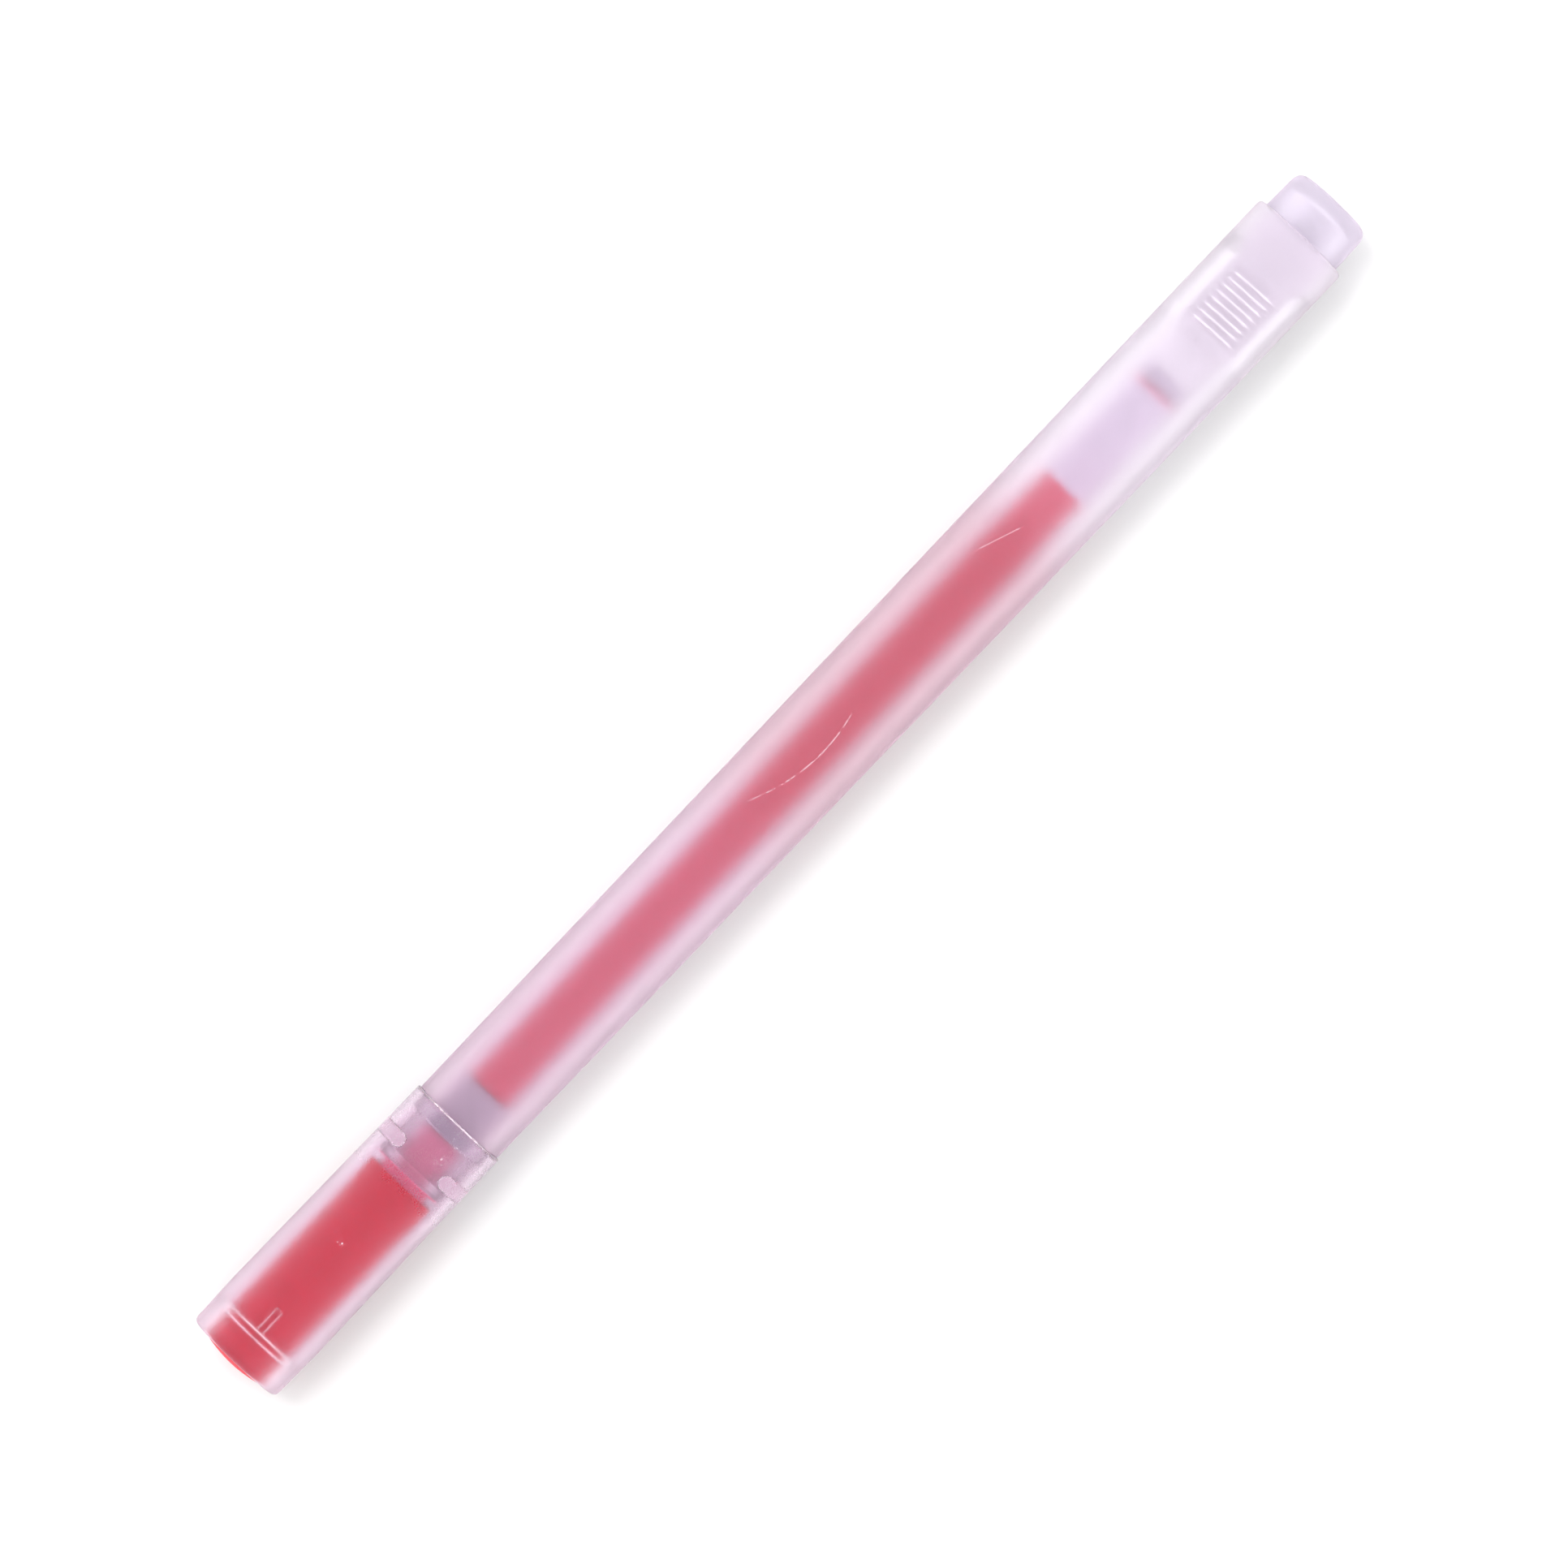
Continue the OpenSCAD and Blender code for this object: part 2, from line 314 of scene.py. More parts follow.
# %% [markdown]
# ## The finishes
#
# Patterns read Object coordinates. Each piece sits at the origin with its place in its
# mesh, so Object coordinates are the pen's own, and they are scaled to millimetres here:
# a noise with a scale of 4 then has features of about a quarter of a millimetre.

# %% A material and its coordinates
class Finish(Tree):
    def __init__(self, name):
        self.material = bpy.data.materials.new(name)
        self.material.use_nodes = True
        super().__init__(self.material.node_tree)
        self.tree.nodes.clear()
        place = self.node("ShaderNodeTexCoord", output="Object")
        self.place = self.node(
            "ShaderNodeMapping",
            {"vector_type": "POINT"},
            {
                "Vector": place,
                "Location": (-apex_x / MM, 0.0, -axis_z / MM),
                "Scale": (1 / MM, 1 / MM, 1 / MM),
            },
        )
        self.station = self.node("ShaderNodeSeparateXYZ", None, {0: self.place}, "X")
        self.side = self.node("ShaderNodeSeparateXYZ", None, {0: self.place}, "Y")
        self.top = self.node("ShaderNodeSeparateXYZ", None, {0: self.place}, "Z")

    def noise(self, scale, detail=3.0, stretch=(1, 1, 1), seed=0.0):
        """Noise from 0 to 1 with `scale` features in a millimetre."""
        moved = self.node(
            "ShaderNodeMapping",
            {"vector_type": "POINT"},
            {"Vector": self.place, "Location": (seed, seed, seed), "Scale": stretch},
        )
        return self.node(
            "ShaderNodeTexNoise", None, {"Vector": moved, "Scale": scale, "Detail": detail}
        )

    def blend(self, factor, a, b):
        """Colour a where the factor is 0 and colour b where it is 1."""
        return self.node(
            "ShaderNodeMix",
            {"data_type": "RGBA"},
            {0: factor, 6: colour(a), 7: colour(b)},
            output=2,
        )

    def bump(self, height, depth):
        """A normal for heights from 0 to 1 over a depth in millimetres."""
        return self.node(
            "ShaderNodeBump", None, {"Height": height, "Strength": 1.0, "Distance": depth * MM}
        )

    def surface(self, **sockets):
        """Ends the tree in one Principled shader."""
        named = {key.replace("_", " "): value for key, value in sockets.items()}
        shader = self.node("ShaderNodeBsdfPrincipled", None, named)
        self.node("ShaderNodeOutputMaterial", None, {"Surface": shader})
        return self.material


def colour(value):
    """An sRGB colour of 0 to 255 as the linear one that shaders use."""
    if isinstance(value, Value):
        return value
    linear = [
        c / 12.92 if c <= 0.04045 else ((c + 0.055) / 1.055) ** 2.4
        for c in (v / 255 for v in value)
    ]
    return (*linear, 1.0)


# %% [markdown]
# ### Frosted plastic
#
# The cap, the barrel and the plug are clear plastic with a spark-eroded mould texture on
# the outside and a smooth inside. Light is bent at both faces, and only the outer one
# scatters it, which is why things that touch the wall look sharp and things deeper in the
# pen look soft. A Principled shader with transmission does exactly this, with a small
# share left opaque for the milkiness of the plastic itself.
#
# The outer face has a fine grain and slow clouds in the frosting. It is smoother near the
# cap's lip and at the barrel's tail, where fingers grip to open them. Marks from handling
# are masks that drive Metallic: a Principled shader lets no light through where Metallic
# is 1, so a mark turns the clear face opaque and bright.

# %% Frosted outside
soft_gloss = colour((205, 188, 206))


def tint_with_ink_light(f, front, rear, neck=None):
    """The plastic's tint with painted red light from the ink: pinker near the ink,
    passing slowly into the plain tint of the empty end of the pen.

    `neck` is the barrel's tint under the cap. Only the barrel has one.
    """
    cloud = f.noise(0.35, 4.0, (0.5, 1, 1))
    # Painted light: the wall is pinker where the ink lies behind it
    along = f.blend((f.station + (cloud - 0.5) * 20).rise(84, 118), front, rear)
    if not neck:
        return along
    # Painted shade: the middle of the barrel is tinted a little darker
    middle_shade = f.station.rise(60, 74) * (1 - f.station.rise(98, 106))
    along = f.blend(middle_shade, along, (241, 215, 226))
    return f.blend(f.station.rise(28.8, 29.4), neck, along)


def frosted(name, front, rear, rough, clear, marks=None, neck=None, smoother=None):
    """Clear plastic with a spark-eroded face: fine grain, clouds and whitened marks.

    `smoother` is (from, to, less): between two stations the face loses that much roughness.
    """
    f = Finish(name)
    cloud = f.noise(0.5, 3.0, (0.5, 1, 1), seed=9.0)
    grain = f.noise(9.0, 2.0, seed=3.0)
    base = tint_with_ink_light(f, front, rear, neck)
    if smoother:
        start, end, less = smoother
        rough = rough - f.station.rise(start, end) * less
    worn = 0.0
    if marks:
        worn = marks(f)
        base = f.blend(worn, base, (255, 252, 254))
    return f.surface(
        Base_Color=base,
        Roughness=(rough - 0.04) + cloud * 0.05 + grain * 0.03 + worn * 0.2,
        Metallic=worn,
        Sheen_Weight=0.3,
        Sheen_Roughness=0.45,
        Sheen_Tint=colour((246, 218, 240)),
        IOR=1.49,
        Specular_Tint=soft_gloss,
        Transmission_Weight=clear,
        Normal=f.bump(grain, 0.0004),
    )


# %% Smooth inside
def moulded(name, front, rear, rough, clear, neck=None):
    """The same plastic where it left a polished core pin, with faint draw lines."""
    f = Finish(name)
    draw = f.noise(3.0, 2.0, (0.05, 1, 1), seed=5.0)
    return f.surface(
        Base_Color=tint_with_ink_light(f, front, rear, neck),
        Roughness=(rough - 0.02) + draw * 0.04,
        IOR=1.49,
        Specular_Tint=soft_gloss,
        Transmission_Weight=clear,
        Normal=f.bump(draw, 0.0004),
    )


# %% Wear
def between(value, low, high, soft):
    """1 from `low` to `high`, falling to 0 over `soft` on each side."""
    return value.rise(low - soft, low) * (1 - value.rise(high, high + soft))


def cap_wear(f):
    """A row of white scuffs near the lip, and a few specks further from it."""
    bits = f.noise(6.0, 3.0, (0.8, 1, 1), seed=21.0).rise(0.54, 0.64)
    row = between(f.station, 24.6, 29.1, 0.3) * between(f.side, -1.45, -0.7, 0.15)
    thin = f.noise(1.1, 2.0, (0.6, 1, 1), seed=5.0).rise(0.46, 0.6)
    far = between(f.station, 14.5, 15.0, 0.1) * between(f.side, -0.1, 0.6, 0.1)
    return (bits * (row * thin + far) * f.top.rise(3.0, 4.0)).clipped() * 0.55


def barrel_wear(f):
    """A long curved scratch over the middle of the barrel, a short one, and dust."""
    bend = (f.station - 75.5) * (f.station - 75.5) * 0.03 - 0.75
    line = 1 - abs(f.side - bend).rise(0.02, 0.09)
    gaps = f.noise(2.0, 3.0, seed=13.0).rise(0.38, 0.58)
    line = line * between(f.station, 68.2, 79.0, 0.8) * gaps
    slope = f.side + (f.station - 98.0) * 0.36 - 1.6
    short = (1 - abs(slope).rise(0.02, 0.08)) * between(f.station, 98.0, 101.6, 0.2)
    dust = f.noise(4.0, 2.0, seed=31.0).rise(0.74, 0.8)
    return ((line * 0.42 + short * 0.3 + dust * 0.3) * f.top.rise(2.5, 3.5)).clipped()


def lip_wear(f):
    """The lip is whitened in patches, on top more than at the sides."""
    patches = f.noise(1.8, 3.0, seed=8.0).rise(0.42, 0.6)
    return patches * f.top.rise(3.0, 4.6) * 0.7


def crest_highlight_mask(f):
    """Painted highlight: the thread's crests are made bright along the top of the pen only."""
    return 1 - abs(f.side).rise(1.5, 2.1)


def rubbed_and_highlit(name, clear, light, dark, marks=None):
    """Plastic whitened by rubbing: the cap's chipped lip and its nubs. The thread's
    crests use it too, with a painted highlight along the top.
    """
    f = Finish(name)
    chip = f.noise(3.5, 3.0, seed=2.0)
    return f.surface(
        Base_Color=f.blend(chip, light, dark),
        Roughness=0.35 + chip * 0.2,
        # On the thread's crests this Metallic mask is a painted highlight
        Metallic=marks(f) if marks else 0.0,
        IOR=1.49,
        Transmission_Weight=clear,
        Normal=f.bump(chip, 0.002),
    )


# Painted light: the pink front tints stand for red light that the ink and the red cup send into
# the plastic; lavender and pale are the plastic's own tints
ink_lit_pink, lavender, pale = (243, 224, 238), (252, 246, 254), (254, 252, 255)
cap_outside = frosted("cap_frosted", (250, 232, 247), lavender, 0.42, 0.985, cap_wear,
                      smoother=(17, 22, 0.15))
cap_inside = moulded("cap_smooth", (252, 238, 249), lavender, 0.12, 0.99)
barrel_outside = frosted("barrel_frosted", ink_lit_pink, lavender, 0.55, 0.93, barrel_wear, pale,
                         smoother=(124.2, 125.4, 0.22))
barrel_inside = moulded("barrel_smooth", ink_lit_pink, lavender, 0.12, 0.98, pale)
plug_outside = frosted("plug_frosted", pale, pale, 0.35, 0.3)
plug_inside = moulded("plug_smooth", pale, pale, 0.15, 0.9)
post_outside = frosted("post_frosted", (240, 232, 246), (240, 232, 246), 0.5, 0.75)
rubbed_plastic = rubbed_and_highlit("rubbed_plastic", 0.9, (252, 242, 250), (246, 230, 242), lip_wear)
# The crests' Metallic mask is a painted highlight along the top of the pen
crest_highlight_plastic = rubbed_and_highlit("crest_highlight_plastic", 0.3, (255, 255, 255), (253, 252, 255), crest_highlight_mask)
nub_plastic = rubbed_and_highlit("nub_plastic", 0.4, (250, 230, 242), (246, 224, 238))

# %% [markdown]
# ### Solid colours inside the pen
#
# The sealing cup is a solid red with a weak, soft gloss. The core and the feed are fibre,
# so they have fine streaks along the pen and no gloss. The core has taken up ink only part
# of the way: its dye ends in a soft front, and a trace of it has crept along to the far
# end.

# %% Red moulded cup
def moulded_red():
    f = Finish("red_moulded")
    cloud = f.noise(0.8, 3.0)
    fine = f.noise(6.0, 3.0, (0.3, 1, 1), seed=2.0)
    return f.surface(
        Base_Color=f.blend(cloud.rise(0.3, 0.7), (210, 8, 44), (202, 6, 38)),
        Roughness=0.36 + fine * 0.1,
        IOR=1.2,
        Specular_Tint=colour((170, 120, 124)),
        Normal=f.bump(fine, 0.002),
    )


red_cup = moulded_red()


# %% Ink and fibre
def inked_fibre(name, dyed_from, dyed_to, dye, dye_deep, plain, stain_at=None):
    f = Finish(name)
    strands = f.noise(7.0, 3.0, (0.05, 1.6, 1.6), seed=1.0)
    creep = f.noise(1.6, 3.0, (0.2, 1, 1), seed=4.0)
    edge = f.station + (creep - 0.5) * 0.5
    dyed = edge.rise(dyed_from - 0.1, dyed_from + 0.1)
    dyed = dyed * (1 - edge.rise(dyed_to - 0.12, dyed_to + 0.12))
    ink = f.blend(strands.rise(0.35, 0.65), dye, dye_deep)
    body = f.blend(dyed, plain, ink)
    if stain_at:
        stain = (1 - abs(f.station - stain_at).rise(0.15, 0.55)) * 0.5
        body = f.blend(stain, body, dye)
    return f.surface(
        Base_Color=body,
        Roughness=0.75 + strands * 0.15,
        Normal=f.bump(strands, 0.02),
    )


core_fibre = inked_fibre(
    "core_fibre", 0.0, 107.05, (255, 54, 100), (252, 46, 92), (252, 248, 253), stain_at=118.7
)
feed_fibre = inked_fibre("feed_fibre", 0.0, 60.0, (200, 30, 60), (184, 22, 50), (206, 196, 214))
bristle_fibre = inked_fibre(
    "bristle_fibre", 0.0, 60.0, (178, 18, 44), (150, 12, 36), (206, 196, 214)
)


# %% Plain moulded plastics
def moulded_solid(name, light, dark, rough):
    f = Finish(name)
    cloud = f.noise(1.2, 3.0)
    fine = f.noise(8.0, 3.0, seed=6.0)
    return f.surface(
        Base_Color=f.blend(cloud.rise(0.3, 0.7), light, dark),
        Roughness=rough + fine * 0.12,
        Normal=f.bump(fine, 0.004),
    )


holder_plastic = moulded_solid("holder_pink", (240, 118, 152), (234, 108, 142), 0.3)
ferrule_plastic = moulded_solid("ferrule_grey", (206, 200, 208), (196, 190, 200), 0.32)
collar_plastic = moulded_solid("collar_grey", (176, 174, 182), (168, 166, 176), 0.45)


# %% Clear film
def clear_film():
    f = Finish("film_clear")
    wave = f.noise(0.8, 2.0, (0.2, 1, 1))
    return f.surface(
        Base_Color=f.blend(wave, (250, 246, 251), (246, 241, 248)),
        Roughness=0.06 + wave * 0.06,
        IOR=1.15,
        Transmission_Weight=1.0,
        Normal=f.bump(wave, 0.02),
    )


film_plastic = clear_film()

# %% [markdown]
# ## The cap
#
# The cap is one moulding. Its crown has a thick wall with a hole, and the red cup's dome
# shows in that hole. Further in, the bore steps out, and on top it carries a small key that
# stops the cup from turning. Near the lip, two snap nubs click over the neck's bead.
#
# The step and the nubs could be separate solids joined by a Boolean, but the join would
# leave faces inside the plastic, and light bends at each of them. The lathe bends the bore
# instead: `cap_shape` pulls it inwards over the key and the nubs, so the wall stays one
# clean skin. The bore needs close rings and, at the key, close columns.

# %% Slots and cap sizes
# A face's slot picks one of the finishes that its piece is given, in their order
# The third slot is rubbed plastic on the cap's lip, and on the plug the crests' painted highlight
OUTSIDE, INSIDE, RUBBED_AND_HIGHLIT, NUB, POST = 0, 1, 2, 3, 3

cap_r = radius_of("cap_shell")
cap_end, cap_lip = span("cap_shell")
lip_r = 4.84
cap_bore_r = 4.2
crown_hole_r = 3.57
step_at = 4.09
key_half, key_end, key_r = 0.39, 6.64, 3.66
nub_at, nub_half, nub_r = 24.75, 0.76, 3.9
nub_reach = math.radians(60)
print(f"cap: {2 * cap_r:.2f} mm across, from {cap_end:.2f} to {cap_lip:.2f} mm")


# %% Key and nubs, pulled out of the bore
def soft_step(value, low, high):
    t = np.clip((value - low) / (high - low), 0, 1)
    return t * t * (3 - 2 * t)


def key_mask(s, across):
    """1 inside a tongue with a round end, measured in millimetres."""
    past = np.maximum(s - (key_end - key_half), 0)
    return 1 - soft_step(np.hypot(across, past), key_half - 0.05, key_half + 0.03)


def nub_mask(s, angle):
    """1 inside a tongue with round ends on each side of the bore."""
    total = 0
    for side in (math.pi / 2, -math.pi / 2):
        turn = np.abs(np.angle(np.exp(1j * (angle - side)))) * cap_bore_r
        past = np.maximum(turn - (nub_reach * cap_bore_r - nub_half), 0)
        total = total + 1 - soft_step(np.hypot(s - nub_at, past), nub_half - 0.25, nub_half)
    return total


def lip_chips(angle):
    """How far the lip is frayed, round the cap, from a few sine waves."""
    wave = sum(
        np.sin(angle * k + phase) * size
        for k, phase, size in ((7, 0.4, 0.3), (19, 1.9, 0.3), (43, 0.7, 0.25), (71, 2.6, 0.2))
    )
    return np.clip(wave, -0.6, 0.6)


def cap_shape(s, r, angle):
    """Bends the bore over the key and the nubs, and frays the lip."""
    in_bore = (s > step_at + 0.001) & (r < cap_bore_r + 0.01)
    top = np.angle(np.exp(1j * angle))
    pull = key_mask(s, top * cap_bore_r) * (cap_bore_r - key_r)
    pull = pull + nub_mask(s, angle) * (cap_bore_r - nub_r)
    r = np.where(in_bore, r - pull, r)
    at_lip = (s > cap_lip - 0.25) & (r > 4.3)
    chips = lip_chips(angle)
    s = np.where(at_lip, s - 0.035 * (1 + chips) * (s - cap_lip + 0.25) / 0.25, s)
    return s, r


# %% Turn the cap
outer_skin = rounded([
    (cap_end, crown_hole_r + 0.05, 0, OUTSIDE),
    (cap_end, cap_r - 0.1, 0.9, OUTSIDE),
    (6.0, cap_r, 0, OUTSIDE),
    (cap_lip - 0.16, lip_r + 0.003, 0, RUBBED_AND_HIGHLIT),
    (cap_lip - 0.02, lip_r, 0.1, RUBBED_AND_HIGHLIT),
    (cap_lip, 4.42, 0, RUBBED_AND_HIGHLIT),
], steps=8)
inner_skin = rounded([
    (cap_lip - 0.02, 4.38, 0, INSIDE),
    (cap_lip - 0.3, cap_bore_r, 0.1, INSIDE),
    (step_at, cap_bore_r, 0, INSIDE),
    (step_at, crown_hole_r, 0.06, INSIDE),
    (3.93, crown_hole_r, 0, INSIDE),
    (3.83, 3.4, 0.03, INSIDE),
    (3.27, 3.4, 0.03, INSIDE),
    (3.17, crown_hole_r, 0, INSIDE),
    (cap_end + 0.06, crown_hole_r, 0, INSIDE),
], steps=3)
inner_skin = subdivided(inner_skin, step_at + 0.02, key_end + 0.4, 0.06)
inner_skin = subdivided(inner_skin, nub_at - 1, nub_at + 1, 0.06)
columns = sorted(
    [math.radians(a) for a in np.arange(8, 352.1, 2.0)]
    + [math.radians(a) % (2 * math.pi) for a in np.arange(-7.6, 7.7, 0.4)]
)
cap_mesh = turned("cap", outer_skin + inner_skin, columns, cap_shape, closed=True)
nub_foot = 0.12
for face in cap_mesh.polygons:
    along, radius = place_of(face)
    if abs(along - nub_at) < 1 and radius < cap_bore_r - nub_foot:
        face.material_index = NUB
piece("cap_frosted_shell", cap_mesh, "cap", ["cap_shell"],
      [cap_outside, cap_inside, rubbed_plastic, nub_plastic])

# %% [markdown]
# ## The red sealing cup
#
# The cup is what keeps the brush wet: its mouth closes on the nib holder's seal. Only its
# slightly domed crown is out in the open, with no plastic over it. It is a solid of
# revolution, so its outline starts on the axis at the apex of the dome, runs out and along
# the outside, turns in at the mouth, and ends on the axis at the bottom of the chamber.

# %% Turn the cup
cup_r = radius_of("inner_cap")
cup_mouth = span("inner_cap")[1]
dome_rise = 0.5
dome_r = (cup_r ** 2 + dome_rise ** 2) / (2 * dome_rise)
dome_steps = 14
dome_radii = [cup_r * k / dome_steps for k in range(dome_steps)]
dome = [(dome_r - math.sqrt(dome_r ** 2 - r ** 2), r, OUTSIDE) for r in dome_radii]
cup_outline = dome + rounded([
    (dome_rise - 0.02, cup_r - 0.04, 0, OUTSIDE),
    (dome_rise + 0.04, cup_r, 0, OUTSIDE),
    (3.15, cup_r, 0.05, OUTSIDE),
    (3.25, 3.38, 0.04, OUTSIDE),
    (3.85, 3.38, 0.04, OUTSIDE),
    (3.95, cup_r, 0.05, OUTSIDE),
    (cup_mouth, cup_r, 0.12, OUTSIDE),
    (cup_mouth, 3.15, 0.1, OUTSIDE),
    (cup_mouth - 0.3, 2.85, 0.1, OUTSIDE),
    (2.8, 2.85, 0.2, OUTSIDE),
    (2.4, 2.45, 0, OUTSIDE),
    (2.4, 0, 0, OUTSIDE),
], steps=4)
piece("sealing_cup", turned("cup", cup_outline), "cap", ["inner_cap"], [red_cup])

# %% [markdown]
# ## Screw threads as a rule
#
# The plug has a thread outside and the barrel one inside. A thread is a rule, not a
# shape: at each point of a wall, the station and the angle say how far along the
# helix the point is, and that says how far it stands out. One Geometry Nodes tree applies
# the rule to any turned wall, and a negative height makes the inner thread. The wall needs
# rings a few hundredths of a millimetre apart.

# %% The thread tree
def group_input(tree, name, value):
    socket = tree.tree.interface.new_socket(name, in_out="INPUT", socket_type="NodeSocketFloat")
    socket.default_value = value
    return socket.identifier


def thread_tree():
    nodes = bpy.data.node_groups.new("helical_thread", "GeometryNodeTree")
    tree = Tree(nodes)
    nodes.interface.new_socket("Wall", in_out="INPUT", socket_type="NodeSocketGeometry")
    nodes.interface.new_socket("Threaded", in_out="OUTPUT", socket_type="NodeSocketGeometry")
    names = {
        name: group_input(tree, name, value)
        for name, value in (
            ("Start", 0.0), ("Length", 0.007), ("Pitch", 0.00075), ("Wall Radius", 0.003),
            ("Height", 0.0003), ("Axis Height", 0.005),
        )
    }
    given = nodes.nodes.new("NodeGroupInput")
    read = {name: Value(tree, given.outputs[name]) for name in names}
    place = tree.node("GeometryNodeInputPosition")
    x = tree.node("ShaderNodeSeparateXYZ", None, {0: place}, "X")
    y = tree.node("ShaderNodeSeparateXYZ", None, {0: place}, "Y")
    z = tree.node("ShaderNodeSeparateXYZ", None, {0: place}, "Z") - read["Axis Height"]
    turn = tree.node("ShaderNodeMath", {"operation": "ARCTAN2"}, {0: z, 1: y}) / (2 * math.pi)
    along = x - read["Start"]
    phase = (along / read["Pitch"] - turn).fraction()
    # A ridge with a flat top a quarter of the pitch wide and a slope on each side
    flank = ((0.42 - abs(phase - 0.5)) / 0.3).clipped()
    # Over the first and the last half turn, the ridge grows out of the wall
    run_out = (along / read["Pitch"] * 2).clipped()
    run_out = run_out * ((read["Length"] - along) / read["Pitch"] * 2).clipped()
    radius = (y * y + z * z) ** 0.5
    share = flank * run_out * read["Height"] / radius
    # The rule leaves the piece's other walls alone: only this radius is threaded
    on_wall = tree.node(
        "FunctionNodeCompare", {"data_type": "FLOAT", "operation": "LESS_THAN"},
        {0: abs(radius - read["Wall Radius"]), 1: 0.00002},
    )
    offset = tree.node("ShaderNodeCombineXYZ", None, {"X": 0.0, "Y": y * share, "Z": z * share})
    moved = tree.node(
        "GeometryNodeSetPosition", None,
        {"Geometry": Value(tree, given.outputs["Wall"]), "Selection": on_wall, "Offset": offset},
    )
    end = nodes.nodes.new("NodeGroupOutput")
    nodes.links.new(moved.socket, end.inputs["Threaded"])
    return nodes, names


thread_nodes, thread_inputs = thread_tree()


# %% Apply a tree to a mesh
def grown(mesh, nodes, inputs, values):
    """Runs a Geometry Nodes tree on a mesh and returns the plain result."""
    maker = bpy.data.objects.new("maker", mesh)
    bpy.context.scene.collection.objects.link(maker)
    modifier = maker.modifiers.new("rule", "NODES")
    modifier.node_group = nodes
    for name, value in values.items():
        modifier[inputs[name]] = value
    graph = bpy.context.evaluated_depsgraph_get()
    result = bpy.data.meshes.new_from_object(maker.evaluated_get(graph))
    bpy.data.objects.remove(maker)
    return result


# %% Thread a wall
thread_start, thread_pitch, thread_turns = 125.5, 0.75, 9
thread_end = thread_start + thread_turns * thread_pitch


def threaded(mesh, start, wall_r, height):
    """Cuts the screw thread in the wall of one radius, in millimetres."""
    values = {
        "Start": apex_x + start * MM,
        "Length": (thread_end - thread_start) * MM,
        "Pitch": thread_pitch * MM,
        "Wall Radius": wall_r * MM,
        "Height": height * MM,
        "Axis Height": axis_z,
    }
    return facing_out(grown(mesh, thread_nodes, thread_inputs, values), crease=50)


# %% [markdown]
# ## The barrel
#
# The barrel is the pen's long tapered tube. Its front end is a thinner neck that the cap
# covers, with a bead that the cap's nubs click over. Its rear end takes the screwed plug.
# Outside it is frosted, and inside it is smooth.

# %% Turn the barrel
neck_start, barrel_end = span("barrel")
collar_front, collar_back = span("feed_collar")
neck_r, bead_r, land_r, front_r, rear_r = 3.5, 3.62, 4.13, 4.62, radius_of("barrel")
bead_start, bead_end = 23.25, 23.65
# The neck is a step thinner up to the collar, and the cap's lip stops just short of the
# shoulder
shoulder, taper_end = cap_lip + 0.02, 122.0
bore_r, stem_bore_r, neck_bore_r, collar_bore_r = 3.4, 2.3, 3.1, 2.68
neck_front_end = 23.9
seat_r, cone_start, cone_end = 3.9, thread_end + 0.1, 133.9
inner_thread_height = 0.05

barrel_outline = rounded([
    (neck_start, 2.32, 0, OUTSIDE),
    (neck_start, 3.42, 0.05, OUTSIDE),
    (bead_start - 0.2, neck_r, 0.05, OUTSIDE),
    (bead_start, bead_r, 0.1, OUTSIDE),
    (bead_end, bead_r, 0.1, OUTSIDE),
    (bead_end + 0.2, neck_r, 0.05, OUTSIDE),
    (collar_front, neck_r, 0.05, OUTSIDE),
    (collar_front + 0.2, land_r, 0.08, OUTSIDE),
    (shoulder, land_r, 0.03, OUTSIDE),
    (shoulder, front_r, 0.12, OUTSIDE),
    (taper_end, rear_r, 0, OUTSIDE),
    (barrel_end, rear_r, 0.55, OUTSIDE),
    (barrel_end, seat_r, 0.06, OUTSIDE),
    (cone_end, seat_r, 0.05, INSIDE),
    (cone_start, bore_r, 0.05, INSIDE),
    (cap_lip - 0.05, bore_r, 0.1, INSIDE),
    (cap_lip - 0.4, collar_bore_r, 0.05, INSIDE),
    (collar_front, collar_bore_r, 0.03, INSIDE),
    (collar_front, neck_bore_r, 0.1, INSIDE),
    (neck_front_end, neck_bore_r, 0.1, INSIDE),
    (neck_front_end, stem_bore_r, 0.03, INSIDE),
    (neck_start + 0.03, stem_bore_r, 0, INSIDE),
], steps=6)
barrel_outline = subdivided(barrel_outline, thread_start - 0.9, cone_start - 0.01, 0.06)
barrel_mesh = turned("barrel_wall", barrel_outline, even_angles(180), closed=True)
# The barrel's ridge runs half a pitch behind the plug's, in the plug's groove
barrel_mesh = threaded(barrel_mesh, thread_start + thread_pitch / 2, bore_r, -inner_thread_height)
piece("barrel_frosted_tube", barrel_mesh, "barrel", ["barrel"],
      [barrel_outside, barrel_inside])

# %% [markdown]
# ## The tail plug
#
# The plug is hollow. Its nose enters the refill's film, its thread grips the barrel, and
# its post, slightly thinner than the barrel, is where the cap goes while the pen is in
# use.

# %% Turn the plug
nose_start = span("tail_plug")[0]
nose_r, hollow_nose_r = 2.23, 1.63
thread_root_r, thread_height = 2.99, 0.35
plug_seat_r, post_r = 3.84, 4.2
hollow_r, hollow_end = 2.09, 140.6

